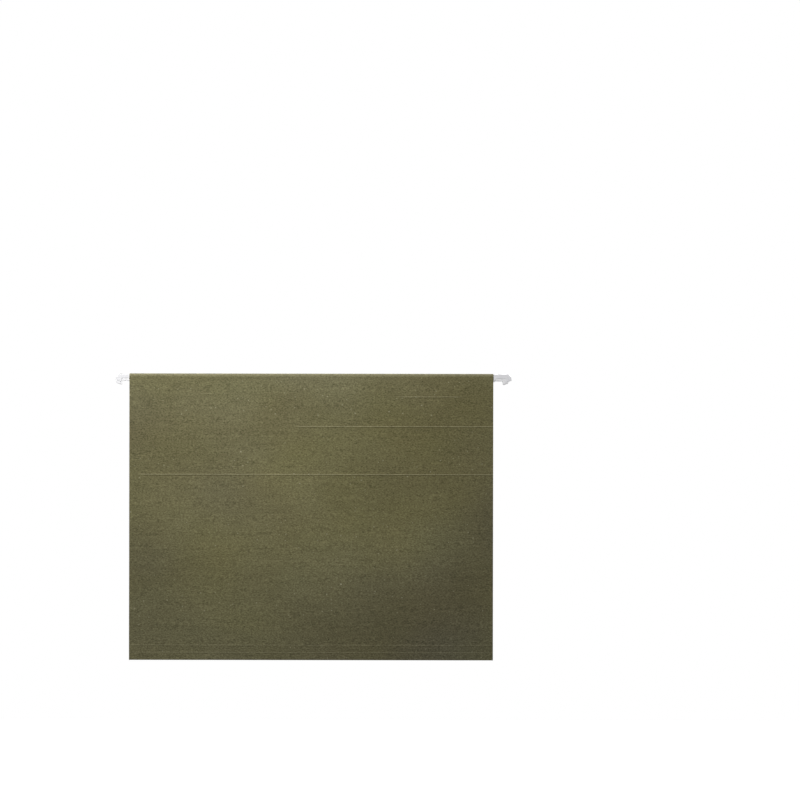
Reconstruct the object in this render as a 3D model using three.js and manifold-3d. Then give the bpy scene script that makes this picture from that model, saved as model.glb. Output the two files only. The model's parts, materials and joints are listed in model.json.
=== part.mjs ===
// A hanging file folder: two card panels that share a scored base, each hung from a flat
// steel rail with white coated hooks. Lengths are millimetres, angles are degrees.
// The frame is the hanging one: +Z up, X along the rails, -Y towards the reader, and the
// origin on the hanging line, midway between the four hook seats at the seats' height.
import * as THREE from "three";
import { mergeVertices } from "three/addons/utils/BufferGeometryUtils.js";
import Module from "manifold-3d";

const wasm = await Module();
wasm.setup();

// The card sheet.
const sheetWidth = 298.5;
const panelHeight = 235;
const stockThickness = 0.28;
const openAngle = 8;

// The scored base. Score heights are above the folder's bottom edge, and a score is pressed
// outwards, so that it stands up as a low ridge on the outer face.
const innerScoreHeight = 6;
const outerScoreHeight = 12;
const scoreWidth = 1.2;
const scoreRise = 0.12;
const foldMidRadius = 0.22;
const foldLegHeight = 2;
const creaseGap = 0.1;

// The hem that is folded over the rail and glued to the panel's inner face.
const hemDepth = 82.4;
const hemGap = 0.16;
const sleeveTaper = 8;
const sleeveSideClearance = 0.1;
const sleeveFootClearance = 0.5;

// The row of tab slots through the hem.
const slotCount = 9;
const slotPitch = 28.8;
const slotLength = 10;
const slotHeight = 1.8;
const slotDepth = 16.5;

// The glue line under the slots.
const glueMargin = 5.25;
const glueHeight = 6;
const glueDepth = 26;
const glueThickness = 0.1;

// The rails, over their coated hooks. The overhang is each end's reach past the sheet.
const hookOverhang = 13.25;
const railHeight = 6.4;
const railThickness = 1.4;
const coatThickness = 0.25;
const coatClearance = 0.05;
const coatInsideSleeve = 3.25;
const frontRailShift = 1.9;

// The hooks, measured from a hook's outer end and from the rail's lower edge.
const tipWidth = 5.1;
const notchWidth = 7.8;
const notchLead = 1.1;
const seatHeight = 2.9;
const tipTopSlope = 3.2;
const tipShoulder = 0.7;
const tipShoulderHeight = 4.2;
const tipNoseHeight = 1.7;
const tipFootRise = 1.1;
const tipFootInset = 0.5;
const tipFootWidth = 1.4;
const notchCorner = 0.8;
const tipCorner = 0.4;

// What follows from the sizes above.
const halfAngle = THREE.MathUtils.degToRad(openAngle / 2);
const foldOuterRadius = foldMidRadius + stockThickness / 2;
const foldInnerRadius = foldMidRadius - stockThickness / 2;
const scoreLevels = [innerScoreHeight - foldOuterRadius, outerScoreHeight - foldOuterRadius];
const sheetTop = panelHeight - foldOuterRadius;
const crownInnerRadius = railThickness / 2 + sleeveSideClearance;
const crownOuterRadius = crownInnerRadius + stockThickness;
const crownHeight = sheetTop - crownOuterRadius;
const railInset = crownInnerRadius - foldInnerRadius;
const railBottom = crownHeight + railThickness / 2 - railHeight;
const seatLevel = railBottom + seatHeight;
const foldLevel = -(seatLevel * Math.cos(halfAngle) + railInset * Math.sin(halfAngle));

const railLength = sheetWidth + 2 * hookOverhang;
const glueWidth = sheetWidth - 2 * glueMargin;

const arcSteps = 4;

// Turns a section drawn as (inwards, up) into a bar along the rail's direction.
const alongRail = new THREE.Matrix4().makeBasis(
  new THREE.Vector3(0, 1, 0),
  new THREE.Vector3(0, 0, 1),
  new THREE.Vector3(1, 0, 0),
);

// Turns an outline drawn as (along, up) into a plate with its thickness inwards.
const acrossRail = new THREE.Matrix4().makeBasis(
  new THREE.Vector3(1, 0, 0),
  new THREE.Vector3(0, 0, 1),
  new THREE.Vector3(0, -1, 0),
);

function extruded(shape, depth, placing) {
  const options = { depth, bevelEnabled: false, curveSegments: arcSteps };
  const geometry = new THREE.ExtrudeGeometry(shape, options);
  return geometry.translate(0, 0, -depth / 2).applyMatrix4(placing);
}

function barAlong(shape, length) {
  return extruded(shape, length, alongRail);
}

function plateAcross(shape, thickness) {
  return extruded(shape, thickness, acrossRail);
}

function boxFrom(low, high) {
  const size = new THREE.Vector3().subVectors(high, low);
  const middle = new THREE.Vector3().addVectors(low, high).multiplyScalar(0.5);
  const box = new THREE.BoxGeometry(size.x, size.y, size.z);
  return box.translate(middle.x, middle.y, middle.z);
}

function toSolid(geometry) {
  const bare = geometry.clone();
  bare.deleteAttribute("normal");
  bare.deleteAttribute("uv");
  const merged = mergeVertices(bare, 1e-4);
  return new wasm.Manifold(
    new wasm.Mesh({
      numProp: 3,
      vertProperties: merged.attributes.position.array,
      triVerts: new Uint32Array(merged.index.array),
    }),
  );
}

function toGeometry(solid) {
  const mesh = solid.getMesh();
  const geometry = new THREE.BufferGeometry();
  geometry.setAttribute("position", new THREE.BufferAttribute(mesh.vertProperties, 3));
  geometry.setIndex(new THREE.BufferAttribute(mesh.triVerts, 1));
  const flat = geometry.toNonIndexed();
  flat.computeVertexNormals();
  return flat;
}

// The corners of a face that runs up from the panel's foot over each pressed score.
function scoredFace(face) {
  return scoreLevels.flatMap((level) => [
    [face, level - scoreWidth / 2],
    [face - scoreRise, level],
    [face, level + scoreWidth / 2],
  ]);
}

// One panel's section: outer ply, fold over the rail, taper below it, and the hem.
function panelShape() {
  const outerFace = -foldOuterRadius;
  const innerFace = -foldInnerRadius;
  const hemOuterFace = innerFace + hemGap;
  const hemInnerFace = hemOuterFace + stockThickness;
  const sleeveInnerFace = railInset + crownOuterRadius;
  const sleeveOuterFace = railInset + crownInnerRadius;
  const sleeveFoot = railBottom - sleeveFootClearance;
  const taperFoot = sleeveFoot - sleeveTaper;
  const panelFoot = foldLegHeight + creaseGap;
  const hemFoot = sheetTop - hemDepth;
  const shape = new THREE.Shape();
  shape.moveTo(outerFace, panelFoot);
  scoredFace(outerFace).forEach(([inwards, up]) => shape.lineTo(inwards, up));
  shape.lineTo(outerFace, crownHeight);
  shape.absarc(railInset, crownHeight, crownOuterRadius, Math.PI, 0, true);
  shape.lineTo(sleeveInnerFace, sleeveFoot);
  shape.lineTo(hemInnerFace, taperFoot);
  shape.lineTo(hemInnerFace, hemFoot);
  shape.lineTo(hemOuterFace, hemFoot);
  shape.lineTo(hemOuterFace, taperFoot);
  shape.lineTo(sleeveOuterFace, sleeveFoot);
  shape.lineTo(sleeveOuterFace, crownHeight);
  shape.absarc(railInset, crownHeight, crownInnerRadius, 0, Math.PI, false);
  scoredFace(innerFace).reverse().forEach(([inwards, up]) => shape.lineTo(inwards, up));
  shape.lineTo(innerFace, panelFoot);
  shape.closePath();
  return shape;
}

// The slots open the hem alone, so that a tab's feet go in from the pocket side.
function panelGeometry() {
  let sheet = toSolid(barAlong(panelShape(), sheetWidth));
  const slotLevel = sheetTop - slotDepth;
  const slotStart = hemGap / 2 - foldInnerRadius;
  for (let i = 0; i < slotCount; i++) {
    const middle = (i - (slotCount - 1) / 2) * slotPitch;
    const low = new THREE.Vector3(
      middle - slotLength / 2,
      slotStart,
      slotLevel - slotHeight / 2,
    );
    const high = new THREE.Vector3(
      middle + slotLength / 2,
      slotStart + crownOuterRadius * 2,
      slotLevel + slotHeight / 2,
    );
    sheet = sheet.subtract(toSolid(boxFrom(low, high)));
  }
  return toGeometry(sheet);
}

function glueGeometry() {
  const middle = hemGap / 2 - foldInnerRadius;
  const top = sheetTop - glueDepth;
  const low = new THREE.Vector3(-glueWidth / 2, middle - glueThickness / 2, top - glueHeight);
  const high = new THREE.Vector3(glueWidth / 2, middle + glueThickness / 2, top);
  return boxFrom(low, high);
}

// The rounded bottom fold with a short leg up each side of the base.
function bottomFoldGeometry() {
  const from = Math.PI + halfAngle;
  const to = 2 * Math.PI - halfAngle;
  const legTop = foldLegHeight - creaseGap;
  const centre = new THREE.Vector2();
  const outer = new THREE.Vector2(-foldOuterRadius, legTop).rotateAround(centre, halfAngle);
  const inner = new THREE.Vector2(-foldInnerRadius, legTop).rotateAround(centre, halfAngle);
  const shape = new THREE.Shape();
  shape.moveTo(outer.x, outer.y);
  shape.absarc(0, 0, foldOuterRadius, from, to, false);
  shape.lineTo(-outer.x, outer.y);
  shape.lineTo(-inner.x, inner.y);
  shape.absarc(0, 0, foldInnerRadius, to, from, true);
  shape.lineTo(inner.x, inner.y);
  shape.closePath();
  return barAlong(shape, sheetWidth);
}

// The right half of a rail's outline, from its top middle round the hook and back. The
// third number of each corner is its rounding.
function hookCorners() {
  const end = railLength / 2;
  const notchOuter = end - tipWidth;
  const notchInner = notchOuter - notchWidth;
  return [
    [end - tipTopSlope, railHeight, tipCorner],
    [end - tipShoulder, tipShoulderHeight, tipCorner],
    [end, tipNoseHeight, tipCorner],
    [end - tipFootInset, tipFootRise, 0],
    [notchOuter + tipFootWidth, 0, tipCorner],
    [notchOuter + tipCorner, 0, 0],
    [notchOuter, seatHeight, notchCorner],
    [notchInner, seatHeight, notchCorner],
    [notchInner - notchLead, 0, 0],
  ];
}

// Moves each side of a clockwise outline inwards. An outer corner's rounding shrinks by
// the inset and an inner corner's grows, so that the wall stays even.
function insetCorners(corners, inset) {
  return corners.map(([x, y, rounding], i) => {
    const before = corners[(i + corners.length - 1) % corners.length];
    const after = corners[(i + 1) % corners.length];
    const a = new THREE.Vector2(x - before[0], y - before[1]).normalize();
    const b = new THREE.Vector2(after[0] - x, after[1] - y).normalize();
    const inwards = new THREE.Vector2(a.y + b.y, -a.x - b.x);
    inwards.multiplyScalar(inset / (1 + a.dot(b)));
    const grown = rounding > 0 ? rounding + Math.sign(a.cross(b)) * inset : 0;
    return [x + inwards.x, y + inwards.y, Math.max(grown, 0)];
  });
}

function roundedShape(corners) {
  const points = corners.map(([x, y]) => new THREE.Vector2(x, y));
  const shape = new THREE.Shape();
  points.forEach((corner, i) => {
    const before = points[(i + points.length - 1) % points.length];
    const after = points[(i + 1) % points.length];
    const rounding = corners[i][2];
    const start = corner.clone().add(before.clone().sub(corner).setLength(rounding));
    const stop = corner.clone().add(after.clone().sub(corner).setLength(rounding));
    if (i === 0) shape.moveTo(start.x, start.y);
    else shape.lineTo(start.x, start.y);
    if (rounding > 0) shape.quadraticCurveTo(corner.x, corner.y, stop.x, stop.y);
  });
  shape.closePath();
  return shape;
}

// A rail with both hooks, every face moved inwards by the inset. Its long edges are
// rolled round, so its section is a stadium.
function railSolid(inset) {
  const right = hookCorners();
  const left = right.map(([x, y, rounding]) => [-x, y, rounding]).reverse();
  const outline = roundedShape(insetCorners([...right, ...left], inset));
  const plate = plateAcross(outline, railThickness * 2);
  const radius = railThickness / 2 - inset;
  const section = new THREE.Shape();
  section.absarc(0, railHeight - railThickness / 2, radius, Math.PI, 0, true);
  section.absarc(0, railThickness / 2, radius, 0, Math.PI, true);
  section.closePath();
  return toSolid(plate).intersect(toSolid(barAlong(section, railLength * 2)));
}

function railGeometry() {
  return toGeometry(railSolid(coatThickness));
}

// One hook's coat: the rail's full form from inside the sleeve outwards, hollow round the
// steel. The side is 1 for the hook at +X and -1 for the one at -X.
function coatGeometry(side) {
  const start = side * (sheetWidth / 2 - coatInsideSleeve);
  const end = side * railLength;
  const near = new THREE.Vector3(Math.min(start, end), -railHeight, -railHeight);
  const far = new THREE.Vector3(Math.max(start, end), railHeight, 2 * railHeight);
  const shell = railSolid(0).subtract(railSolid(coatThickness - coatClearance));
  return toGeometry(shell.intersect(toSolid(boxFrom(near, far))));
}

// Finishes: olive card, bare steel, white coating and dried glue.
const finishes = {
  card: { color: 0x5f5b40, roughness: 0.85, metalness: 0 },
  steel: { color: 0x8f9194, roughness: 0.35, metalness: 1 },
  coating: { color: 0xe9e8e6, roughness: 0.35, metalness: 0 },
  glue: { color: 0xd8d2b8, roughness: 0.5, metalness: 0 },
};

function piece(name, geometry, finish) {
  const mesh = new THREE.Mesh(geometry, new THREE.MeshStandardMaterial(finishes[finish]));
  mesh.name = name;
  return mesh;
}

// One rail with its two coats, seated in the crown of its panel. Seen from the front,
// the left coat of the turned back rail lies on its other end.
function railGroup(side, shift, leftEnd) {
  const group = new THREE.Group();
  group.position.set(shift, railInset, railBottom);
  group.add(piece(side + "_rail", railGeometry(), "steel"));
  group.add(piece(side + "_left_hook_coat", coatGeometry(leftEnd), "coating"));
  group.add(piece(side + "_right_hook_coat", coatGeometry(-leftEnd), "coating"));
  return group;
}

// One side of the folder, drawn upright above the fold with its pocket face inwards,
// then leaned out by half of the opening angle.
function sideGroup(side, shift, leftEnd) {
  const leaned = new THREE.Group();
  leaned.rotation.x = halfAngle;
  leaned.add(piece(side + "_panel", panelGeometry(), "card"));
  leaned.add(piece(side + "_hem_glue", glueGeometry(), "glue"));
  leaned.add(railGroup(side, shift, leftEnd));
  return leaned;
}

const folder = new THREE.Group();
folder.position.z = foldLevel;
folder.add(piece("bottom_fold", bottomFoldGeometry(), "card"));
folder.add(sideGroup("front", frontRailShift, -1));
const turned = new THREE.Group();
turned.rotation.z = Math.PI;
turned.add(sideGroup("back", 0, 1));
folder.add(turned);

export default folder;
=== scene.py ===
"""A hanging file folder of olive card, hung from two flat steel rails with white coated hooks.

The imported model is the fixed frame. Each side of the folder is drawn in millimetres in a side
frame, with x along the rail, y towards the pocket and z up from the bottom fold, and is then
placed in the row frame, in metres.
"""
import json
import logging
import math
from dataclasses import dataclass, field
from enum import Enum
from typing import NamedTuple

import bmesh
import bpy
from mathutils import Matrix, Vector


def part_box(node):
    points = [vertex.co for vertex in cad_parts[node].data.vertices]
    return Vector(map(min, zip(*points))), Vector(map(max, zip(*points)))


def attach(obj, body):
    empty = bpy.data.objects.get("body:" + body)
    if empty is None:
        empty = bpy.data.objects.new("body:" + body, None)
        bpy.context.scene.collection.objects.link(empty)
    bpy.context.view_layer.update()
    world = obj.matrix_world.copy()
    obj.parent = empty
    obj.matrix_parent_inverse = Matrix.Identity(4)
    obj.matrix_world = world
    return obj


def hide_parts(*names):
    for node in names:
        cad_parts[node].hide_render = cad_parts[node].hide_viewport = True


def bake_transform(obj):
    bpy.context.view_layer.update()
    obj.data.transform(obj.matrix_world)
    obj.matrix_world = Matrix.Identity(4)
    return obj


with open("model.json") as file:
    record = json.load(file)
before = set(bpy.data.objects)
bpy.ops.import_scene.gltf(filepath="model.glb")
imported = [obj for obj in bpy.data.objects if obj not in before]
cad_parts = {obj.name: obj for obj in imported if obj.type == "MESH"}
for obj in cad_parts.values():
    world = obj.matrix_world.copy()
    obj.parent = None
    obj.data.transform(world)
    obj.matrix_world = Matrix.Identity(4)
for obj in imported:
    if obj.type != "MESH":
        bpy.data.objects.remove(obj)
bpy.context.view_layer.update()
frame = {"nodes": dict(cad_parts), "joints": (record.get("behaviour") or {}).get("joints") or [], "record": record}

log = logging.getLogger("hanging_folder")

MM = 0.001
FIXED_SEED = 7

Triple = tuple[float, float, float]
Mesh = bpy.types.Mesh
Piece = bpy.types.Object
Socket = bpy.types.NodeSocket
Value = float | str | tuple[float, ...] | Socket
Flat = list[tuple[float, float]]


class Side(Enum):
    """The two sides of the folder, as they are named in the frame."""

    FRONT = "front"
    BACK = "back"


class End(Enum):
    """The two ends of a rail, as they are named in the frame."""

    LEFT = "left"
    RIGHT = "right"


class Ply(Enum):
    """The layers of a panel's sheet, with the number that their points carry."""

    OUTER = 0.0
    CROWN = 0.5
    HEM = 1.0


Section = list[tuple[float, float, Ply]]


@dataclass(frozen=True)
class Stance:
    """Where the two sides of the folder stand in the row frame.

    Attributes:
        fold_level: height of the bottom fold's axis, in metres.
        lean: angle of each side from the vertical, in radians.
        rail_inset: distance from the fold's axis plane to the rail's middle plane, in mm.
        seat_level: height of the hooks' seats above the fold's axis, in mm.
    """

    fold_level: float
    lean: float
    rail_inset: float
    seat_level: float

    @classmethod
    def from_frame(cls) -> "Stance":
        """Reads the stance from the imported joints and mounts.

        Returns:
            The stance of the folder at rest.
        """
        hinge = next(j for j in frame["joints"] if j["name"] == "bottom_fold_opening")
        seats = {m["name"]: m for m in frame["record"]["mounts"]}
        seat = seats["front_right_seat"]
        fold_level = hinge["pos_m"][2]
        lean = math.asin(seat["axis"][1])
        upright = Matrix.Rotation(-lean, 4, "X") @ Matrix.Translation((0, 0, -fold_level))
        place = upright @ Vector(seat["pos_m"])
        return cls(fold_level, lean, place.y / MM, place.z / MM)

    def placing(self, side: Side) -> Matrix:
        """Gives the matrix from a side frame in mm to the row frame in metres.

        Args:
            side: which side of the folder is placed.

        Returns:
            The placing of that side.
        """
        turn = math.pi if side is Side.BACK else 0.0
        moved = Matrix.Translation((0, 0, self.fold_level)) @ Matrix.Rotation(turn, 4, "Z")
        return moved @ Matrix.Rotation(self.lean, 4, "X") @ Matrix.Scale(MM, 4)


@dataclass(frozen=True)
class CardStock:
    """The sizes of the card sheet that its panels and its fold share, in mm.

    Attributes:
        thickness: the stock's thickness.
        height: from the bottom fold's outer face to the top edge.
        fold_radius: the bottom fold's radius, to the middle of the stock.
        fold_leg: how far the fold's own piece reaches up each side.
    """

    thickness: float = 0.28
    height: float = 235.0
    fold_radius: float = 0.22
    fold_leg: float = 2.0

    @property
    def skin(self) -> float:
        """Gives the distance from the fold's axis to the card's outer face."""
        return self.fold_radius + self.thickness / 2

    @property
    def top(self) -> float:
        """Gives the height of the top edge above the fold's axis."""
        return self.height - self.skin


@dataclass(frozen=True)
class Grain:
    """One layer of noise.

    Attributes:
        cells: how many cells there are in a metre, along x, y and z.
        detail: how many finer layers it has.
        shift: where it starts, in cells.
    """

    cells: Triple
    detail: float
    shift: Triple = (0.0, 0.0, 0.0)


@dataclass(frozen=True)
class Stretch:
    """How the middle of a value's range is stretched, and the rest held at its two ends.

    Attributes:
        low, high: the value at the two ends.
        to_low, to_high: what it becomes there.
    """

    low: float
    high: float
    to_low: float = 0.0
    to_high: float = 1.0


@dataclass(frozen=True)
class Bump:
    """How a finish's fine relief shows.

    Attributes:
        strength: how strongly it shows, from 0 to 1.
        depth: how deep it is, in metres.
    """

    strength: float
    depth: float


def eased(share: float) -> float:
    """Holds a share between 0 and 1, and makes it start and stop gently."""
    held = min(max(share, 0.0), 1.0)
    return held * held * (3.0 - 2.0 * held)


def shade(level: Triple) -> tuple[float, float, float, float]:
    """Gives an opaque colour."""
    return (*level, 1.0)


class NodeBench:
    """Adds nodes to one tree and links them as it goes."""

    MIX_FACTOR, MIX_BELOW, MIX_ABOVE, MIX_RESULT = 0, 6, 7, 2

    def __init__(self, tree: bpy.types.NodeTree) -> None:
        """Takes the tree that the nodes go into."""
        self.tree = tree

    def feed(self, socket: Socket, value: Value) -> None:
        """Sets one input, or links it where an output socket is given for it.

        Args:
            socket: the input.
            value: its value, or the output to link.
        """
        if isinstance(value, Socket):
            self.tree.links.new(value, socket)
        else:
            socket.default_value = value

    def put(self, kind: str, sockets: dict[str | int, Value] | None = None,
            **settings: str) -> bpy.types.Node:
        """Adds one node.

        Args:
            kind: the node's type.
            sockets: input name or index to a value, or to an output socket to link.
            settings: properties of the node itself.

        Returns:
            The new node.
        """
        node = self.tree.nodes.new(kind)
        for key, value in settings.items():
            setattr(node, key, value)
        for key, value in (sockets or {}).items():
            self.feed(node.inputs[key], value)
        return node

    def math(self, operation: str, *values: Value) -> Socket:
        """Adds a Math node with its inputs in order, and gives its output."""
        return self.put("ShaderNodeMath", dict(enumerate(values)), operation=operation).outputs[0]

    def ramp(self, value: Socket, stretch: Stretch) -> Socket:
        """Adds a clamped Map Range node.

        Args:
            value: the value that it maps.
            stretch: the two ranges.

        Returns:
            The node's output.
        """
        sockets = {"Value": value, "From Min": stretch.low, "From Max": stretch.high}
        sockets |= {"To Min": stretch.to_low, "To Max": stretch.to_high}
        return self.put("ShaderNodeMapRange", sockets).outputs["Result"]

    def mix(self, factor: Value, below: Value, above: Value, blend: str = "MIX") -> Socket:
        """Adds a Mix node for colours.

        Args:
            factor: how far the upper colour shows, from 0 to 1.
            below: the lower colour.
            above: the upper colour.
            blend: how the upper colour is laid on the lower one.

        Returns:
            The node's output.
        """
        sockets = {self.MIX_FACTOR: factor, self.MIX_BELOW: below, self.MIX_ABOVE: above}
        node = self.put("ShaderNodeMix", sockets, data_type="RGBA", blend_type=blend)
        return node.outputs[self.MIX_RESULT]


class SurfaceBench(NodeBench):
    """The bench of one material, with its Principled surface and its Object coordinates."""

    GRAIN_ROUGHNESS = 0.6

    def __init__(self, material: bpy.types.Material) -> None:
        """Takes the material and finds its surface.

        Args:
            material: the material that the nodes go into.
        """
        material.use_nodes = True
        super().__init__(material.node_tree)
        self.surface = material.node_tree.nodes["Principled BSDF"]
        self.place = self.put("ShaderNodeTexCoord").outputs["Object"]

    def noise(self, grain: Grain) -> Socket:
        """Adds one layer of noise.

        Args:
            grain: its sizes.

        Returns:
            The socket of the noise's value.
        """
        sockets = {"Vector": self.place, "Scale": grain.cells, "Location": grain.shift}
        spot = self.put("ShaderNodeMapping", sockets).outputs[0]
        sockets = {"Vector": spot, "Scale": 1.0, "Detail": grain.detail, "Roughness": self.GRAIN_ROUGHNESS}
        return self.put("ShaderNodeTexNoise", sockets).outputs["Fac"]

    def lay(self, colour: Socket, rough: Socket, height: Socket, bump: Bump) -> None:
        """Links a colour, a roughness and a relief to the surface.

        Args:
            colour: the socket of the colour.
            rough: the socket of the roughness.
            height: the socket of the relief's height.
            bump: how the relief shows.
        """
        sockets = {"Height": height, "Strength": bump.strength, "Distance": bump.depth}
        relief = self.put("ShaderNodeBump", sockets).outputs[0]
        for name, socket in (("Base Color", colour), ("Roughness", rough), ("Normal", relief)):
            self.feed(self.surface.inputs[name], socket)


@dataclass(frozen=True)
class Finish:
    """What every finish shares: a name and a Principled surface on Object coordinates.

    Attributes:
        name: the material's name.
    """

    name: str

    def material(self) -> bpy.types.Material:
        """Makes the material, or finds it if it is made already.

        Returns:
            The finish as a material.
        """
        made = bpy.data.materials.get(self.name)
        if made:
            return made
        made = bpy.data.materials.new(self.name)
        self.dress(SurfaceBench(made))
        return made

    def dress(self, bench: SurfaceBench) -> None:
        """Feeds the material's surface with the finish's own nodes."""
        raise NotImplementedError


@dataclass(frozen=True)
class DyePatch:
    """Soft, slow patches in which the card took its dye a little differently.

    Attributes:
        dye: what the patches multiply the card's colour by.
        cells: how many cells of their noise there are in a metre.
        shift: where the noise starts, in cells.
    """

    dye: Triple
    cells: float
    shift: Triple

    FLATNESS = 1.3

    def cloud(self) -> Grain:
        """Gives the noise that is high in the patches, which are a little wider than high."""
        return Grain((self.cells, self.cells, self.FLATNESS * self.cells), 1.0, self.shift)


@dataclass(frozen=True)
class Pulp:
    """One sort of fleck in the card.

    Attributes:
        tone: the flecks' colour.
        cells: how many cells there are in a metre, each with one fleck at most.
        share: the share of the cells that hold a fleck.
        radius: the largest fleck's radius, as a share of its cell.
        shift: where the cells start, in metres, so that two sorts differ.
        cover: how far a fleck covers the card, from 0 to 1.
    """

    tone: Triple
    cells: float
    share: float
    radius: float
    shift: float
    cover: float


@dataclass(frozen=True)
class OliveCard(Finish):
    """Solid-dyed card: short level fibres, soft patches in the dye, and flecks of pulp.

    Attributes:
        pale, deep: the colours of the palest and of the darkest fibres.
        highlight_tone: the paler colour painted as a highlight on the top bend and the pressed lines.
        shine: the level of its mirror reflection.
    """

    pale: Triple = (0.306, 0.277, 0.132)
    deep: Triple = (0.069, 0.063, 0.0285)
    # Painted highlight: a paler colour laid where light would catch the top bend and the upper flanks of the
    # pressed lines.
    highlight_tone: Triple = (0.305, 0.282, 0.166)
    shine: float = 0.06

    FIBRE = Grain((690.0, 1100.0, 1250.0), 3.0)
    STREAK = Grain((55.0, 700.0, 640.0), 2.0, (3.0, 1.0, 2.0))
    HAIR = Grain((1500.0, 7000.0, 8200.0), 2.0, (5.0, 9.0, 1.0))
    FIBRE_WEIGHT = 0.84
    STREAK_WEIGHT = 0.16
    HAIR_WEIGHT = 0.4
    MOTTLE = Stretch(0.265, 0.735)
    HAIR_TONE = Stretch(0.3, 0.7, 0.74, 1.26)
    PATCH_EDGE = Stretch(0.42, 0.75)
    # How the fibres break up the painted highlight.
    HIGHLIGHT_GRAIN = Stretch(0.35, 0.65, 0.65, 1.25)
    ROUGHNESS = Stretch(0.3, 0.7, 0.74, 0.90)
    TOOTH = Bump(0.35, 0.00025)
    TEAR_CELLS = 1900.0
    TEAR_REACH = (0.0011, 0.0011, 0.0009)
    SMALLEST_FLECK = 0.35
    PATCHES = (
        DyePatch((0.88, 0.87, 0.95), 8.0, (5.4, 7.4, 3.9)),
        DyePatch((1.04, 1.06, 1.08), 15.0, (10.2, 4.5, 8.0)),
        DyePatch((0.945, 0.955, 1.08), 6.0, (17.8, 6.3, 0.1)),
        DyePatch((0.87, 0.87, 0.87), 7.0, (8.9, 4.4, 17.5)),
        DyePatch((0.875, 0.87, 0.875), 11.0, (2.0, 9.4, 6.6)),
        DyePatch((0.96, 0.97, 0.92), 15.0, (3.4, 13.8, 14.8)),
        DyePatch((0.975, 0.995, 1.08), 8.0, (18.1, 9.8, 11.1)),
        DyePatch((0.945, 0.93, 0.90), 11.0, (13.6, 1.9, 12.8)),
    )
    PULPS = (
        Pulp((0.42, 0.39, 0.25), cells=260.0, share=0.40, radius=0.15, shift=0.31, cover=0.55),
        Pulp((0.52, 0.49, 0.33), cells=110.0, share=0.08, radius=0.075, shift=2.43, cover=0.80),
        Pulp((0.035, 0.030, 0.018), cells=130.0, share=0.10, radius=0.08, shift=5.17, cover=0.75),
    )

    def flecks(self, bench: SurfaceBench, pulp: Pulp) -> Socket:
        """Gives a mask of scattered flecks with torn edges.

        Args:
            bench: the bench of the card's material.
            pulp: the sort of fleck.

        Returns:
            The socket of the mask.
        """
        start = (pulp.shift, pulp.shift, pulp.shift)
        spot = bench.put("ShaderNodeMapping", {"Vector": bench.place, "Location": start}).outputs[0]
        torn = bench.put("ShaderNodeTexNoise", {"Vector": spot, "Scale": self.TEAR_CELLS, "Detail": 1.0})
        sockets = {0: torn.outputs["Color"], 1: self.TEAR_REACH, 2: spot}
        bent = bench.put("ShaderNodeVectorMath", sockets, operation="MULTIPLY_ADD").outputs[0]
        cells = bench.put("ShaderNodeTexVoronoi", {"Vector": bent, "Scale": pulp.cells})
        chance = bench.put("ShaderNodeSeparateColor", {"Color": cells.outputs["Color"]})
        held = bench.math("LESS_THAN", chance.outputs[0], pulp.share)
        sizes = Stretch(0.0, 1.0, self.SMALLEST_FLECK * pulp.radius, pulp.radius)
        size = bench.ramp(chance.outputs[1], sizes)
        near = bench.math("LESS_THAN", cells.outputs["Distance"], size)
        return bench.math("MULTIPLY", held, near)

    def dress(self, bench: SurfaceBench) -> None:
        """Feeds the card's surface: fibres, then dye, then the painted highlight, then pulp.

        Args:
            bench: the bench of the card's material.
        """
        fibre = bench.noise(self.FIBRE)
        streak = bench.math("MULTIPLY", bench.noise(self.STREAK), self.STREAK_WEIGHT)
        hair = bench.noise(self.HAIR)
        mixed = bench.math("ADD", bench.math("MULTIPLY", fibre, self.FIBRE_WEIGHT), streak)
        colour = bench.mix(bench.ramp(mixed, self.MOTTLE), shade(self.deep), shade(self.pale))
        colour = bench.mix(1.0, colour, bench.ramp(hair, self.HAIR_TONE), "MULTIPLY")
        for patch in self.PATCHES:
            cloud = bench.ramp(bench.noise(patch.cloud()), self.PATCH_EDGE)
            colour = bench.mix(cloud, colour, shade(patch.dye), "MULTIPLY")
        # Painted highlight: the points' highlight trait, broken up by the fibres, lays a paler colour on the top
        # bend and the pressed lines' upper flanks.
        rub = bench.put("ShaderNodeAttribute", attribute_name="rub").outputs["Fac"]
        highlight_mask = bench.math("MULTIPLY", rub, bench.ramp(mixed, self.HIGHLIGHT_GRAIN))
        colour = bench.mix(highlight_mask, colour, shade(self.highlight_tone))
        for pulp in self.PULPS:
            mask = bench.math("MULTIPLY", self.flecks(bench, pulp), pulp.cover)
            colour = bench.mix(mask, colour, shade(pulp.tone))
        tooth = bench.math("ADD", mixed, bench.math("MULTIPLY", hair, self.HAIR_WEIGHT))
        bench.lay(colour, bench.ramp(fibre, self.ROUGHNESS), tooth, self.TOOTH)
        bench.feed(bench.surface.inputs["Specular IOR Level"], self.shine)


@dataclass(frozen=True)
class GrainedFinish(Finish):
    """A finish of two close colours. One grain turns them, and roughness and relief follow it.

    Attributes:
        body, vein: the colours where the grain is low, and where it is high.
        grain: the grain.
        tone, rough, bump: how it turns the colour, sets the roughness and stands up.
        inputs: the surface's other inputs, each with its value.
    """

    body: Triple
    vein: Triple
    grain: Grain
    tone: Stretch
    rough: Stretch
    bump: Bump
    inputs: tuple[tuple[str, float], ...] = ()

    def dress(self, bench: SurfaceBench) -> None:
        """Feeds the surface from the one grain.

        Args:
            bench: the bench of the finish's material.
        """
        grain = bench.noise(self.grain)
        colour = bench.mix(bench.ramp(grain, self.tone), shade(self.body), shade(self.vein))
        bench.lay(colour, bench.ramp(grain, self.rough), grain, self.bump)
        for name, value in self.inputs:
            bench.feed(bench.surface.inputs[name], value)


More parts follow.
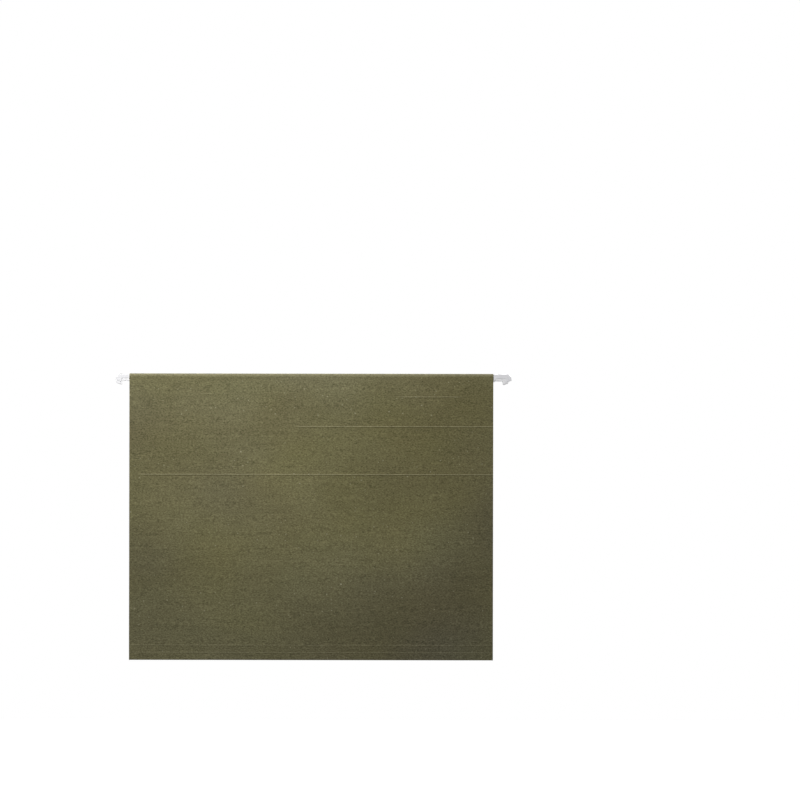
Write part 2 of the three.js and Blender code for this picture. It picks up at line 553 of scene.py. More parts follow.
@dataclass(frozen=True)
class DippedCoat(GrainedFinish):
    """Glossy white plastic that the hooks are dipped in, a little uneven where it ran."""

    body: Triple = (0.82, 0.815, 0.82)
    vein: Triple = (0.79, 0.785, 0.795)
    grain: Grain = Grain((420.0, 420.0, 300.0), 1.0)
    tone: Stretch = Stretch(0.1, 0.9)
    rough: Stretch = Stretch(0.1, 0.9, 0.18, 0.34)
    bump: Bump = Bump(0.06, 0.0003)
    inputs: tuple[tuple[str, float], ...] = (("Coat Weight", 0.2), ("Coat Roughness", 0.12))


@dataclass(frozen=True)
class RolledSteel(GrainedFinish):
    """Bare rolled strip with fine lines along its length."""

    body: Triple = (0.56, 0.565, 0.57)
    vein: Triple = (0.40, 0.405, 0.41)
    grain: Grain = Grain((25.0, 4200.0, 4200.0), 3.0)
    tone: Stretch = Stretch(0.35, 0.65)
    rough: Stretch = Stretch(0.3, 0.7, 0.24, 0.42)
    bump: Bump = Bump(0.15, 0.0001)
    inputs: tuple[tuple[str, float], ...] = (("Metallic", 1.0),)


@dataclass(frozen=True)
class DriedGlue(GrainedFinish):
    """Dried adhesive, amber and a little cloudy."""

    body: Triple = (0.69, 0.64, 0.48)
    vein: Triple = (0.56, 0.49, 0.33)
    grain: Grain = Grain((300.0, 300.0, 520.0), 3.0)
    tone: Stretch = Stretch(0.35, 0.7)
    rough: Stretch = Stretch(0.3, 0.7, 0.30, 0.55)
    bump: Bump = Bump(0.3, 0.0002)


CARD = OliveCard("olive_card")
COAT = DippedCoat("white_dipped_coat")
STEEL = RolledSteel("rolled_steel")
GLUE = DriedGlue("dried_glue")


def new_object(name: str, mesh: Mesh) -> Piece:
    """Links a mesh into the scene as an object at the origin.

    Args:
        name: the object's name.
        mesh: its mesh.

    Returns:
        The new object.
    """
    made = bpy.data.objects.new(name, mesh)
    bpy.context.scene.collection.objects.link(made)
    return made


def closed_mesh(name: str, points: list[Triple], faces: list[tuple[int, ...]]) -> Mesh:
    """Makes a closed mesh whose faces point outwards.

    Args:
        name: the mesh's name.
        points: its points.
        faces: its faces, wound either way.

    Returns:
        The new mesh.
    """
    mesh = bpy.data.meshes.new(name)
    mesh.from_pydata(points, [], faces)
    shell = bmesh.new()
    shell.from_mesh(mesh)
    bmesh.ops.recalc_face_normals(shell, faces=shell.faces)
    shell.to_mesh(mesh)
    shell.free()
    return mesh


def settle(piece: Piece) -> None:
    """Turns a piece and its modifiers into a plain mesh.

    Args:
        piece: the piece, whose modifiers are applied and removed.
    """
    graph = bpy.context.evaluated_depsgraph_get()
    result = bpy.data.meshes.new_from_object(piece.evaluated_get(graph))
    raw = piece.data
    piece.modifiers.clear()
    piece.data = result
    bpy.data.meshes.remove(raw)


def smooth(mesh: Mesh, limit_deg: float) -> None:
    """Shades a mesh smooth, apart from its edges that turn by more than the limit."""
    mesh.polygons.foreach_set("use_smooth", [True] * len(mesh.polygons))
    mesh.set_sharp_from_angle(angle=math.radians(limit_deg))


def report(piece: Piece) -> None:
    """Logs a finished piece with its number of faces."""
    log.info("%s: %d faces", piece.name, len(piece.data.polygons))


def hook_node(side: Side, end: End) -> str:
    """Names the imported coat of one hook."""
    return f"{side.value}_{end.value}_hook_coat"


@dataclass(frozen=True)
class PressedLine:
    """A level line pressed into the outer ply, which stands up as a fine ridge.

    HALF_WIDTH is half its width, HIGHLIGHT_SHIFT how far its painted highlight lies above the crest, on the upper
    flank where light from above would fall, and FADE how long it takes to rise at an end, in mm. ROWS are the
    places of the mesh's rows across it, and
    CLEAR is how far other rows stay away from it, in half widths.

    Attributes:
        level: height above the fold's axis, in mm.
        start: where it starts along x, in mm.
        stop: where it stops along x, in mm.
        rise: how far it stands up, in mm.
        rub: how strongly a painted highlight lies along its crest and upper flank, from 0 to 1.
    """

    level: float
    start: float
    stop: float
    rise: float
    rub: float

    HALF_WIDTH = 0.7
    HIGHLIGHT_SHIFT = 0.25
    FADE = 5.0
    ROWS = (-1.3, -1.0, -0.75, -0.5, -0.25, 0.0, 0.25, 0.5, 0.75, 1.0, 1.3)
    CLEAR = 1.6

    def share(self, x: float, z: float) -> float:
        """Gives the ridge's height at a point of the ply, as a share of its rise.

        Args:
            x: place along the rail, in mm.
            z: height above the fold's axis, in mm.

        Returns:
            The share, from 0 beside the ridge to 1 on its crest.
        """
        across = abs(z - self.level) / self.HALF_WIDTH
        if across >= 1.0:
            return 0.0
        along = min(x - self.start, self.stop - x) / self.FADE + 0.5
        return 0.5 * (1.0 + math.cos(math.pi * across)) * eased(along)


class Traits(NamedTuple):
    """What each point of a panel's middle sheet carries.

    Attributes:
        ply: its layer's number.
        rise: how far the pressed lines raise it, in mm.
        rub: how strongly it is painted paler as a highlight, from 0 to 1.
        ease: how far the card's waves move it, from 0 to 1.
    """

    ply: float
    rise: float
    rub: float
    ease: float


@dataclass
class CardPanel:
    """One side of the card sheet: the outer ply, the crown over the rail, and the hem.

    All lengths are mm in the side frame.

    Attributes:
        stance, side: where the folder stands, and which side this is.
        stock: the sizes that it shares with the bottom fold.
        crown_radius, crown_steps: the bend over the rail, to the middle of the stock.
        crown_highlight, highlight_depth, highlight_rows: how strongly the bend is painted pale as a highlight, and
        how far below it, over that many rows.
        rail_height, rail_thickness: the coated rail in the sleeve.
        sleeve_clearance: room under the rail before the hem closes in.
        sleeve_taper, taper_steps: the stretch over which it closes in.
        hem_depth, hem_gap: from the top edge to the hem's, and from the outer ply to the hem.
        hem_line_drop, hem_line_start: how far the hem's mark lies below its edge, and its start.
        slot_count, slot_pitch, slot_length, slot_height: the row of tab slots in the hem.
        slot_depth: from the top edge to the slots' middle.
        glue_reach: how far below the top edge the card is held flat.
        score_heights, score_rise, score_highlight: the scores above the bottom edge, each with a painted highlight
        along its upper flank.
        cell, near_share: the mesh's cell, and the share that a column keeps from a slot's end.
        waviness, wave_length: the range and the length of the card's slow waves.
        foot_ease, glue_ease: the heights over which they grow, and die out again further up.
        sharp_deg: the least angle of a sharp edge.
        half_width: half the sheet's width, taken from the frame.
    """

    stance: Stance
    side: Side
    stock: CardStock
    crown_radius: float = 0.94
    crown_steps: int = 20
    # Painted highlight: the bend over the rail and a band below it are painted paler, where light from above would
    # catch the rounded top.
    crown_highlight: float = 0.7
    highlight_depth: float = 1.8
    highlight_rows: int = 3
    rail_height: float = 6.4
    rail_thickness: float = 1.4
    sleeve_clearance: float = 0.5
    sleeve_taper: float = 8.0
    taper_steps: int = 6
    hem_depth: float = 82.4
    hem_gap: float = 0.16
    hem_line_drop: float = 0.6
    hem_line_start: float = -141.0
    slot_count: int = 9
    slot_pitch: float = 28.8
    slot_length: float = 10.0
    slot_height: float = 1.8
    slot_depth: float = 16.5
    glue_reach: float = 32.0
    score_heights: tuple[float, ...] = (6.0, 12.0)
    score_rise: float = 0.12
    # Painted highlight along the scores' upper flanks.
    score_highlight: float = 0.20
    cell: float = 2.6
    near_share: float = 0.35
    waviness: float = 1.7
    wave_length: float = 95.0
    foot_ease: float = 45.0
    glue_ease: float = 50.0
    sharp_deg: float = 50.0
    half_width: float = field(init=False)

    def __post_init__(self) -> None:
        """Takes the sheet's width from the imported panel."""
        low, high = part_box(f"{self.side.value}_panel")
        self.half_width = (high.x - low.x) / 2 / MM

    @property
    def crown(self) -> float:
        """Gives the level at which the bend over the rail starts."""
        return self.stock.top - self.crown_radius - self.stock.thickness / 2

    def lines(self) -> list[PressedLine]:
        """Lists the lines that are pressed into the outer ply.

        Returns:
            The scores of the base, the hem's mark and, on the front, three shorter marks.
        """
        edge = self.half_width + PressedLine.FADE
        top = self.stock.top
        # Each line carries a rise, which is real relief, and a painted highlight along its upper flank.
        scores = [
            PressedLine(height - self.stock.skin, -edge, edge, self.score_rise, self.score_highlight)
            for height in self.score_heights
        ]
        hem_mark = top - self.hem_depth - self.hem_line_drop
        lines = [*scores, PressedLine(hem_mark, self.hem_line_start, edge, rise=0.32, rub=0.46)]
        if self.side is Side.BACK:
            return lines
        return lines + [
            PressedLine(top - 43.6, start=-11.5, stop=edge, rise=0.30, rub=0.46),
            PressedLine(top - 19.2, start=71.7, stop=122.9, rise=0.24, rub=0.36),
            PressedLine(top - 16.9, start=-91.5, stop=-81.6, rise=0.16, rub=0.16),
        ]

    def levels(self, low: float, high: float, marks: list[float], ridges: list[float]) -> list[float]:
        """Spaces the rows of one ply.

        Args:
            low: the ply's lowest level.
            high: its highest level.
            marks: levels that get a row of their own.
            ridges: levels of ridges, which get close rows round them.

        Returns:
            The levels from low to high.
        """
        count = max(1, round((high - low) / self.cell))
        rows = {low + (high - low) * i / count for i in range(count + 1)}
        rows |= {mark for mark in marks if low < mark < high}
        clear = PressedLine.HALF_WIDTH * PressedLine.CLEAR
        rows = {r for r in rows if r in (low, high) or all(abs(r - m) > clear for m in ridges)}
        steps = [PressedLine.HALF_WIDTH * place for place in PressedLine.ROWS]
        close = {ridge + step for ridge in ridges for step in steps if low < ridge + step < high}
        return sorted(rows | close)

    def outer_ply(self) -> Section:
        """Draws the outer ply, from the foot up to the bend.

        Returns:
            Points (towards the pocket, up, ply).
        """
        # Rows for the painted highlight below the bend.
        highlight_levels = [self.crown - self.highlight_depth * i / self.highlight_rows for i in range(1, self.highlight_rows + 1)]
        ridges = [line.level for line in self.lines()]
        rows = self.levels(self.stock.fold_leg, self.crown, highlight_levels, ridges)
        return [(-self.stock.fold_radius, z, Ply.OUTER) for z in rows]

    def bend(self) -> Section:
        """Draws the half turn over the rail.

        Returns:
            Points (towards the pocket, up, ply).
        """
        points = []
        for i in range(1, self.crown_steps):
            turn = math.pi * (1 - i / self.crown_steps)
            y = self.stance.rail_inset + self.crown_radius * math.cos(turn)
            points.append((y, self.crown + self.crown_radius * math.sin(turn), Ply.CROWN))
        return points

    def hem_ply(self) -> Section:
        """Draws the sleeve's inner side, the stretch where it closes in, and the hem, downwards.

        Returns:
            Points (towards the pocket, up, ply).
        """
        sleeve = self.stance.rail_inset + self.crown_radius
        sleeve_foot = self.crown + self.rail_thickness / 2 - self.rail_height - self.sleeve_clearance
        hem = self.stock.thickness + self.hem_gap - self.stock.fold_radius
        points = [(sleeve, self.crown, Ply.HEM), (sleeve, sleeve_foot, Ply.HEM)]
        for i in range(1, self.taper_steps):
            share = i / self.taper_steps
            y = sleeve + (hem - sleeve) * eased(share)
            points.append((y, sleeve_foot - self.sleeve_taper * share, Ply.HEM))
        slot = self.stock.top - self.slot_depth
        marks = [slot - self.slot_height / 2, slot + self.slot_height / 2]
        rows = self.levels(self.stock.top - self.hem_depth, sleeve_foot - self.sleeve_taper, marks, [])
        return points + [(hem, z, Ply.HEM) for z in reversed(rows)]

    def columns(self) -> list[float]:
        """Spaces the columns, with one at each end of every slot.

        Returns:
            The places along x.
        """
        width = self.half_width * 2
        count = round(width / self.cell)
        grid = {-self.half_width + width * i / count for i in range(count + 1)}
        first = -(self.slot_count - 1) / 2 * self.slot_pitch
        ends = set()
        for i in range(self.slot_count):
            middle = first + i * self.slot_pitch
            ends |= {middle - self.slot_length / 2, middle + self.slot_length / 2}
        near = self.cell * self.near_share
        kept = {x for x in grid if abs(x) == self.half_width or all(abs(x - e) > near for e in ends)}
        return sorted(kept | ends)

    def traits(self, x: float, z: float, ply: Ply, lines: list[PressedLine]) -> Traits:
        """Gives what one point carries.

        Args:
            x: place along the rail, in mm.
            z: height above the fold's axis, in mm.
            ply: its layer.
            lines: the panel's pressed lines.

        Returns:
            The point's traits.
        """
        rise, rub = 0.0, 0.0
        if ply is Ply.OUTER:
            rise = sum(line.share(x, z) * line.rise for line in lines)
            # Painted highlight along each pressed line's upper flank, just above its crest, where light from above
            # would fall.
            rub = sum(line.share(x, z - line.HIGHLIGHT_SHIFT) * line.rub for line in lines)
        # Painted highlight along the bend over the rail and a little below it, on the outer ply and the crown.
        if ply is not Ply.HEM:
            rub += self.crown_highlight * min(max((z - self.crown) / self.highlight_depth + 1.0, 0.0), 1.0)
        glue_foot = self.stock.top - self.glue_reach
        ease = eased((z - self.stock.fold_leg) / self.foot_ease) * eased((glue_foot - z) / self.glue_ease)
        return Traits(ply.value, rise, rub, ease)

    def middle_sheet(self) -> Mesh:
        """Builds the middle of the stock as an open grid, up, over the rail and down the hem.

        Returns:
            A mesh with the traits as attributes of its points.
        """
        section = self.outer_ply() + self.bend() + self.hem_ply()
        columns = self.columns()
        lines = self.lines()
        points = [(x, y, z) for x in columns for y, z, _ in section]
        traits = [self.traits(x, z, ply, lines) for x in columns for _, z, ply in section]
        height = len(section)
        corners = [i * height + j for i in range(len(columns) - 1) for j in range(height - 1)]
        faces = [(c, c + height, c + height + 1, c + 1) for c in corners]
        mesh = bpy.data.meshes.new(f"{self.side.value}_card")
        mesh.from_pydata(points, [], faces)
        for name, values in zip(Traits._fields, zip(*traits)):
            mesh.attributes.new(name, "FLOAT", "POINT").data.foreach_set("value", values)
        return mesh

    def build(self) -> Piece:
        """Makes the panel: waves, ridges and slots, then its thickness, then its place.

        Returns:
            The finished piece, riding on its panel's body.
        """
        name = f"{self.side.value}_panel"
        piece = new_object(f"{name}_card", self.middle_sheet())
        CardRelief(self).apply(piece)
        thick = piece.modifiers.new("stock", "SOLIDIFY")
        thick.thickness = self.stock.thickness
        thick.offset = 0.0
        settle(piece)
        for trait in ("ply", "rise", "ease"):
            found = piece.data.attributes.get(trait)
            if found:
                piece.data.attributes.remove(found)
        piece.data.transform(self.stance.placing(self.side))
        smooth(piece.data, self.sharp_deg)
        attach(piece, name)
        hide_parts(name)
        report(piece)
        return piece


class ReliefBench(NodeBench):
    """The bench of the relief's tree, with its inputs and the place of each point."""

    def __init__(self, tree: bpy.types.NodeTree) -> None:
        """Takes the tree, whose inputs are named already.

        Args:
            tree: the tree that the nodes go into.
        """
        super().__init__(tree)
        self.given = self.put("NodeGroupInput").outputs
        place = self.put("GeometryNodeInputPosition").outputs[0]
        self.x, _, self.z = self.put("ShaderNodeSeparateXYZ", {0: place}).outputs

    def trait(self, name: str) -> Socket:
        """Reads one of the points' traits by its name."""
        return self.put("GeometryNodeInputNamedAttribute", {"Name": name}, data_type="FLOAT").outputs[0]


class CardRelief:
    """The node tree that shapes a panel: it waves the card, raises its pressed lines and
    opens the row of tab slots through the hem."""

    NAME = "card_relief"
    HEM_FROM = 0.9
    BACK_SEED = 11.5

    def __init__(self, panel: CardPanel) -> None:
        """Takes the numbers from a panel, and finds the tree or builds it the first time.

        Args:
            panel: the panel that is shaped.
        """
        self.numbers = {
            "Waviness": panel.waviness,
            "Wave Length": panel.wave_length,
            "Seed": FIXED_SEED + (self.BACK_SEED if panel.side is Side.BACK else 0.0),
            "Slot Pitch": panel.slot_pitch,
            "Slot Length": panel.slot_length,
            "Slot Height": panel.slot_height,
            "Slot Level": panel.stock.top - panel.slot_depth,
            "Slot Count": float(panel.slot_count),
        }
        self.tree = bpy.data.node_groups.get(self.NAME) or self.build()

    def build(self) -> bpy.types.NodeTree:
        """Builds the tree.

        Returns:
            The new tree, with its named inputs.
        """
        tree = bpy.data.node_groups.new(self.NAME, "GeometryNodeTree")
        face = tree.interface
        face.new_socket(name="Geometry", in_out="INPUT", socket_type="NodeSocketGeometry")
        for name in self.numbers:
            face.new_socket(name=name, in_out="INPUT", socket_type="NodeSocketFloat")
        face.new_socket(name="Card", in_out="INPUT", socket_type="NodeSocketMaterial")
        face.new_socket(name="Geometry", in_out="OUTPUT", socket_type="NodeSocketGeometry")
        bench = ReliefBench(tree)
        sockets = {"Geometry": bench.given["Geometry"], "Selection": self.slots(bench)}
        opened = bench.put("GeometryNodeDeleteGeometry", sockets, domain="FACE").outputs[0]
        sockets = {"Geometry": opened, "Offset": self.shift(bench)}
        waved = bench.put("GeometryNodeSetPosition", sockets).outputs[0]
        whole = bench.put("GeometryNodeRealizeInstances", {0: waved}).outputs[0]
        sockets = {"Geometry": whole, "Material": bench.given["Card"]}
        dressed = bench.put("GeometryNodeSetMaterial", sockets).outputs[0]
        bench.put("NodeGroupOutput", {0: dressed})
        return tree

    def slots(self, bench: ReliefBench) -> Socket:
        """Selects the cells of the hem that lie in a slot.

        Args:
            bench: the bench of the tree.

        Returns:
            The socket of the selection.
        """
        given, x, z = bench.given, bench.x, bench.z
        pitch = given["Slot Pitch"]
        turns = bench.math("ROUND", bench.math("DIVIDE", x, pitch))
        last = bench.math("MULTIPLY", given["Slot Count"], 0.5)
        row = bench.math("LESS_THAN", bench.math("ABSOLUTE", turns), last)
        aside = bench.math("ABSOLUTE", bench.math("SUBTRACT", x, bench.math("MULTIPLY", turns, pitch)))
        along = bench.math("LESS_THAN", aside, bench.math("MULTIPLY", given["Slot Length"], 0.5))
        above = bench.math("ABSOLUTE", bench.math("SUBTRACT", z, given["Slot Level"]))
        level = bench.math("LESS_THAN", above, bench.math("MULTIPLY", given["Slot Height"], 0.5))
        hem = bench.math("GREATER_THAN", bench.trait("ply"), self.HEM_FROM)
        placed = bench.math("MULTIPLY", along, row)
        picked = bench.math("MULTIPLY", placed, bench.math("MULTIPLY", level, hem))
        return bench.math("GREATER_THAN", picked, 0.5)

    @staticmethod
    def shift(bench: ReliefBench) -> Socket:
        """Works out how far each point moves, the same for the two plies at one place.

        Args:
            bench: the bench of the tree.

        Returns:
            The socket of the offset.
        """
        length = bench.given["Wave Length"]
        wave_x = bench.math("DIVIDE", bench.x, length)
        wave_z = bench.math("DIVIDE", bench.z, length)
        sockets = {0: wave_x, 1: bench.given["Seed"], 2: wave_z}
        where = bench.put("ShaderNodeCombineXYZ", sockets).outputs[0]
        sockets = {"Vector": where, "Scale": 1.0, "Detail": 1.0}
        noise = bench.put("ShaderNodeTexNoise", sockets).outputs["Fac"]
        wave = bench.math("MULTIPLY", bench.math("SUBTRACT", noise, 0.5), bench.given["Waviness"])
        waved = bench.math("MULTIPLY", wave, bench.trait("ease"))
        inwards = bench.math("SUBTRACT", waved, bench.trait("rise"))
        return bench.put("ShaderNodeCombineXYZ", {1: inwards}).outputs[0]

    def apply(self, piece: Piece) -> None:
        """Puts the tree on a panel's middle sheet.

        Args:
            piece: the object that gets the modifier.
        """
        modifier = piece.modifiers.new(self.NAME, "NODES")
        modifier.node_group = self.tree
        wanted = self.numbers | {"Card": CARD.material()}
        for socket in self.tree.interface.items_tree:
            if socket.item_type == "SOCKET" and socket.name in wanted:
                modifier[socket.identifier] = wanted[socket.name]


@dataclass
class BottomFold:
    """The rounded fold between the two panels, with a short leg up each of them.

    Attributes:
        stance, stock: where the folder stands, and the sizes shared with the panels.
        turn_half: not used.
        cells, arc_steps, leg_rows: how finely its length, its round and its legs are cut.
        sharp_deg: the least angle of a sharp edge.
    """

    stance: Stance
    stock: CardStock
    turn_half: float = 0.3
    cells: int = 100
    arc_steps: int = 14
    leg_rows: tuple[float, ...] = (1.0, 0.66, 0.33)
    sharp_deg: float = 50.0

    def face(self, radius: float) -> Flat:
        """Draws one face of the fold, from the front leg's top round to the back leg's.

        Args:
            radius: the face's radius, in mm.

        Returns:
            Points (y, z) in mm from the fold's axis.
        """
        lean = self.stance.lean
        front = [self.turned(-radius, self.stock.fold_leg * share, lean) for share in self.leg_rows]
        first, last = math.pi + lean, 2 * math.pi - lean
        arc = [first + (last - first) * i / self.arc_steps for i in range(self.arc_steps + 1)]
        bend = [(radius * math.cos(a), radius * math.sin(a)) for a in arc]
        back = [(-y, z) for y, z in reversed(front)]
        return front + bend + back

    @staticmethod
    def turned(y: float, z: float, angle: float) -> tuple[float, float]:
        """Turns a point about the fold's axis."""
        return y * math.cos(angle) - z * math.sin(angle), y * math.sin(angle) + z * math.cos(angle)

    def build(self) -> Piece:
        """Sweeps the fold's closed section along it.

        Returns:
            The finished piece, the fold between the two panels, in the row frame.
        """
        low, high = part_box("bottom_fold")
        half = self.stock.thickness / 2
        inside = self.face(self.stock.fold_radius - half)
        loop = self.face(self.stock.fold_radius + half) + inside[::-1]
        count = len(loop)
        points, faces = [], []
        for i in range(self.cells + 1):
            x = low.x + (high.x - low.x) * i / self.cells
            points += [(x, y * MM, self.stance.fold_level + z * MM) for y, z in loop]
        for i in range(self.cells):
            for j in range(count):
                k = (j + 1) % count
                faces.append((i * count + j, i * count + k, (i + 1) * count + k, (i + 1) * count + j))
        faces.append(tuple(range(count - 1, -1, -1)))
        faces.append(tuple(self.cells * count + j for j in range(count)))
        mesh = closed_mesh("bottom_fold_card", points, faces)
        smooth(mesh, self.sharp_deg)
        mesh.materials.append(CARD.material())
        piece = new_object("bottom_fold_card", mesh)
        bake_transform(piece)
        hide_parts("bottom_fold")
        report(piece)
        return piece


@dataclass
class HookCoat:
    """The dipped coat of one hook, drawn from the hook's outer end and the rail's lower edge.

    All lengths are mm.

    Attributes:
        stance, side, end: where the folder stands, and which hook this is.
        reach, height, thickness: the coat's sizes, over the strip.
        tip_width, notch_width, seat_height: the tip, and the notch beside it.
        notch_lead: how far the notch's inner side slopes out.
        corner_steps: how many flats a rounded corner has.
        voxel, softness, rounds: the film's cell, and how far and how often it is smoothed.
        sharp_deg: the least angle of a sharp edge.
    """

    stance: Stance
    side: Side
    end: End
    reach: float = 16.5
    height: float = 6.34
    thickness: float = 1.36
    tip_width: float = 5.1
    notch_width: float = 7.8
    notch_lead: float = 1.1
    seat_height: float = 2.9
    corner_steps: int = 5
    voxel: float = 0.12
    softness: float = 0.5
    rounds: int = 34
    sharp_deg: float = 80.0

    def corners(self) -> list[Triple]:
        """Lists the hook's corners.

        Returns:
            Corners (inwards from the outer end, up from the lower edge, rounding), in order.
        """
        outer = self.tip_width
        inner = self.tip_width + self.notch_width
        return [
            (3.2, self.height, 0.5),
            (0.7, 4.2, 0.4),
            (0.0, 1.7, 0.4),
            (0.5, 1.1, 0.2),
            (outer - 1.4, 0.0, 0.4),
            (outer - 0.4, 0.0, 0.3),
            (outer, self.seat_height, 0.8),
            (inner, self.seat_height, 0.8),
            (inner + self.notch_lead, 0.0, 0.2),
            (self.reach, 0.0, 0.0),
            (self.reach, self.height, 0.0),
        ]

    def outline(self) -> Flat:
        """Rounds the corners.

        Returns:
            The points of the hook's outline.
        """
        corners = [(Vector((a, b)), rounding) for a, b, rounding in self.corners()]
        points = []
        for i, (corner, rounding) in enumerate(corners):
            if rounding == 0.0:
                points.append(tuple(corner))
                continue
            before = corner + (corners[i - 1][0] - corner).normalized() * rounding
            after = corner + (corners[(i + 1) % len(corners)][0] - corner).normalized() * rounding
            for k in range(self.corner_steps + 1):
                t = k / self.corner_steps
                spot = before * (1 - t) ** 2 + corner * 2 * t * (1 - t) + after * t * t
                points.append(tuple(spot))
        return points

    def blank(self, outer_end: float) -> Mesh:
        """Cuts the hook's outline from a plate.

        Args:
            outer_end: the hook's outer end along x in the side frame, in mm.

        Returns:
            The plate's mesh in the side frame.
        """
        base = self.stance.seat_level - self.seat_height
        middle = self.stance.rail_inset
        way = -math.copysign(1.0, outer_end)
        flat = [(outer_end + way * a, base + b) for a, b in self.outline()]
        count = len(flat)
        near = [(x, middle - self.thickness / 2, z) for x, z in flat]
        far = [(x, middle + self.thickness / 2, z) for x, z in flat]
        faces = [tuple(range(count)), tuple(reversed(range(count, 2 * count)))]
        faces += [(j, (j + 1) % count, (j + 1) % count + count, j + count) for j in range(count)]
        return closed_mesh("hook_blank", near + far, faces)

    def build(self) -> Piece:
        """Makes the coat: the plate, softened as a dipped film softens it, in its place.

        Returns:
            The finished piece, riding on its rail's body.
        """
        node = hook_node(self.side, self.end)
        low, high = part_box(node)
        edge = high.x if self.end is End.RIGHT else low.x
        outer_end = edge / MM * (1 if self.side is Side.FRONT else -1)
        piece = new_object(f"{node}_film", self.blank(outer_end))
        film = piece.modifiers.new("film", "REMESH")
        film.mode = "VOXEL"
        film.voxel_size = self.voxel
        soft = piece.modifiers.new("soft", "SMOOTH")
        soft.factor = self.softness
        soft.iterations = self.rounds
        settle(piece)
        piece.data.transform(self.stance.placing(self.side))
        smooth(piece.data, self.sharp_deg)
        piece.data.materials.clear()
        piece.data.materials.append(COAT.material())
        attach(piece, f"{self.side.value}_rail")
        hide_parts(node)
        report(piece)
        return piece


class PackedParts:
    """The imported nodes. The steel strips and the glue lines show, and pieces stand for the rest."""

    def dress(self) -> None:
        """Gives each node its finish, also where a piece stands for it."""
        for side in Side:
            self.cover(f"{side.value}_rail", STEEL)
            self.cover(f"{side.value}_hem_glue", GLUE)
            self.cover(f"{side.value}_panel", CARD)
            for end in End:
                self.cover(hook_node(side, end), COAT)
        self.cover("bottom_fold", CARD)

    @staticmethod
    def cover(name: str, finish: Finish) -> None:
        """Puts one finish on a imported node.

        Args:
            name: the node's name.
            finish: its finish.
        """
        node = frame["nodes"][name]
        node.data.materials.clear()
        node.data.materials.append(finish.material())
        log.info("%s: dressed as %s", name, finish.name)


@dataclass(frozen=True)
class Lamp:
    """A soft square lamp.

    Attributes:
        name: the lamp's name.
        spot, aim: where it hangs and the point that it faces, in metres.
        size, watts: its side, in metres, and its power.
    """

    name: str
    spot: Triple
    aim: Triple
    size: float
    watts: float

    def hang(self) -> None:
        """Hangs the lamp in the scene."""
        light = bpy.data.lights.new(self.name, "AREA")
        light.shape = "SQUARE"
        light.size = self.size
        light.energy = self.watts
        made = bpy.data.objects.new(self.name, light)
        made.location = self.spot
        made.rotation_euler = (Vector(self.aim) - Vector(self.spot)).to_track_quat("-Z", "Y").to_euler()
        bpy.context.scene.collection.objects.link(made)


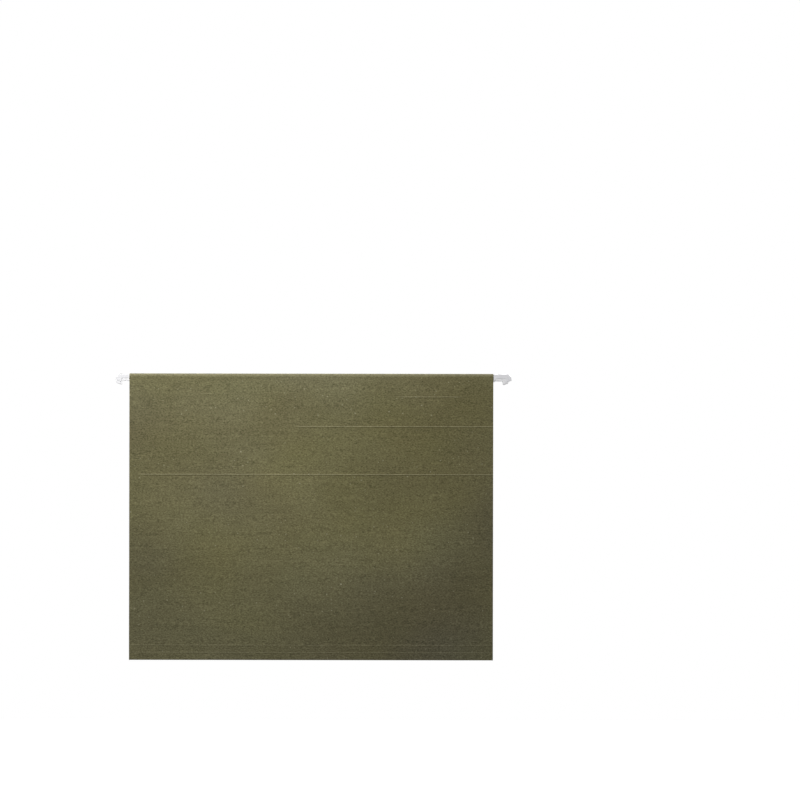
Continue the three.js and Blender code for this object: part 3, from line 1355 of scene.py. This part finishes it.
@dataclass
class Studio:
    """The white floor and backdrop, the lamps, and the camera at the picture's view.

    Attributes:
        stance, stock: where the folder stands, and its card's sizes.
        distance: from the camera to the front panel, in metres.
        lens, sensor: the camera's focal length and its sensor's width, in mm.
        clip: the nearest and the farthest that it sees, in metres.
        axis_right, axis_down: the view's middle, from the middle of the sheet's top, in mm.
        roll_deg: how far the camera is rolled about its axis.
        sky, sky_level: colour and strength of the surroundings' light on the folder.
        floor_level: height of the floor, which is below the folder when it hangs flat open.
        floor_reach: how far the floor reaches from the middle, in metres.
        floor_tone, floor_rough, floor_glow: how it takes the lamps, and shines where it is seen.
    """

    stance: Stance
    stock: CardStock
    distance: float = 3.0
    lens: float = 164.6
    sensor: float = 36.0
    clip: tuple[float, float] = (0.05, 50.0)
    axis_right: float = 72.7
    axis_down: float = 21.5
    roll_deg: float = 0.1
    sky: Triple = (0.86, 0.98, 1.22)
    sky_level: float = 0.06
    floor_level: float = -0.49
    floor_reach: float = 12.0
    floor_tone: float = 0.60
    floor_rough: float = 0.9
    floor_glow: float = 0.93

    WHITE = (1.0, 1.0, 1.0)
    LAMPS = (
        Lamp("key", spot=(-0.13, -0.40, 0.32), aim=(-0.08, 0.0, -0.02), size=0.28, watts=3.6),
        Lamp("fill", spot=(-0.7, -1.2, 0.1), aim=(0.0, 0.0, -0.1), size=0.8, watts=0.2),
        Lamp("back_light", spot=(0.35, 0.9, 0.55), aim=(0.0, 0.0, -0.1), size=0.6, watts=10.0),
    )

    def camera(self) -> None:
        """Sets the camera square to the front panel."""
        placing = self.stance.placing(Side.FRONT)
        aim = placing @ Vector((self.axis_right, -self.stock.skin, self.stock.top - self.axis_down))
        out = (placing.to_3x3() @ Vector((0, -1, 0))).normalized()
        up = (placing.to_3x3() @ Vector((0, 0, 1))).normalized()
        right = up.cross(out)
        roll = Matrix.Rotation(math.radians(self.roll_deg), 4, "Z")
        turn = Matrix((right, up, out)).transposed().to_4x4() @ roll
        lens = bpy.data.cameras.new("view")
        lens.lens = self.lens
        lens.sensor_width = self.sensor
        lens.clip_start, lens.clip_end = self.clip
        made = bpy.data.objects.new("view", lens)
        made.matrix_world = Matrix.Translation(aim + out * self.distance) @ turn
        bpy.context.scene.collection.objects.link(made)
        bpy.context.scene.camera = made

    @staticmethod
    def by_ray(bench: NodeBench, unseen: float, seen: float) -> Socket:
        """Gives one value on camera, glossy and transmission rays, and another on the rest.

        Args:
            bench: the bench of the tree.
            unseen: the value on the other rays.
            seen: the value on the rays that see.

        Returns:
            The socket of the value.
        """
        path = bench.put("ShaderNodeLightPath").outputs
        either = bench.math("MAXIMUM", path["Is Camera Ray"], path["Is Glossy Ray"])
        ray = bench.math("MAXIMUM", either, path["Is Transmission Ray"])
        return bench.ramp(ray, Stretch(0.0, 1.0, unseen, seen))

    def surroundings(self) -> None:
        """Makes the surroundings: white where they are seen, and a plain even light."""
        world = bpy.data.worlds.new("white_room")
        world.use_nodes = True
        bench = NodeBench(world.node_tree)
        light = world.node_tree.nodes["Background"]
        colour = bench.mix(self.by_ray(bench, 0.0, 1.0), shade(self.sky), shade(self.WHITE))
        bench.feed(light.inputs["Color"], colour)
        bench.feed(light.inputs["Strength"], self.by_ray(bench, self.sky_level, 1.0))
        bpy.context.scene.world = world

    def floor(self) -> None:
        """Lays the pale floor, which looks white and keeps the folder's shadow."""
        mesh = bpy.data.meshes.new("floor")
        reach = self.floor_reach
        corners = [(-reach, -reach), (reach, -reach), (reach, reach), (-reach, reach)]
        mesh.from_pydata([(x, y, self.floor_level) for x, y in corners], [], [(0, 1, 2, 3)])
        finish = bpy.data.materials.new("white_floor")
        finish.use_nodes = True
        bench = NodeBench(finish.node_tree)
        inputs = finish.node_tree.nodes["Principled BSDF"].inputs
        bench.feed(inputs["Base Color"], shade((self.floor_tone, self.floor_tone, self.floor_tone)))
        bench.feed(inputs["Roughness"], self.floor_rough)
        bench.feed(inputs["Emission Color"], shade(self.WHITE))
        bench.feed(inputs["Emission Strength"], self.by_ray(bench, 0.0, self.floor_glow))
        mesh.materials.append(finish)
        new_object("floor", mesh)

    def build(self) -> None:
        """Sets up the whole studio."""
        self.camera()
        self.surroundings()
        self.floor()
        for lamp in self.LAMPS:
            lamp.hang()
        bpy.context.scene.view_settings.view_transform = "Standard"


def main() -> None:
    """Builds the studio and the folder's pieces."""
    logging.basicConfig(level=logging.INFO, format="%(name)s %(message)s")
    stance = Stance.from_frame()
    stock = CardStock()
    Studio(stance, stock).build()
    for side in Side:
        CardPanel(stance, side, stock).build()
        for end in End:
            HookCoat(stance, side, end).build()
    BottomFold(stance, stock).build()
    PackedParts().dress()


if __name__ == "__main__":
    main()
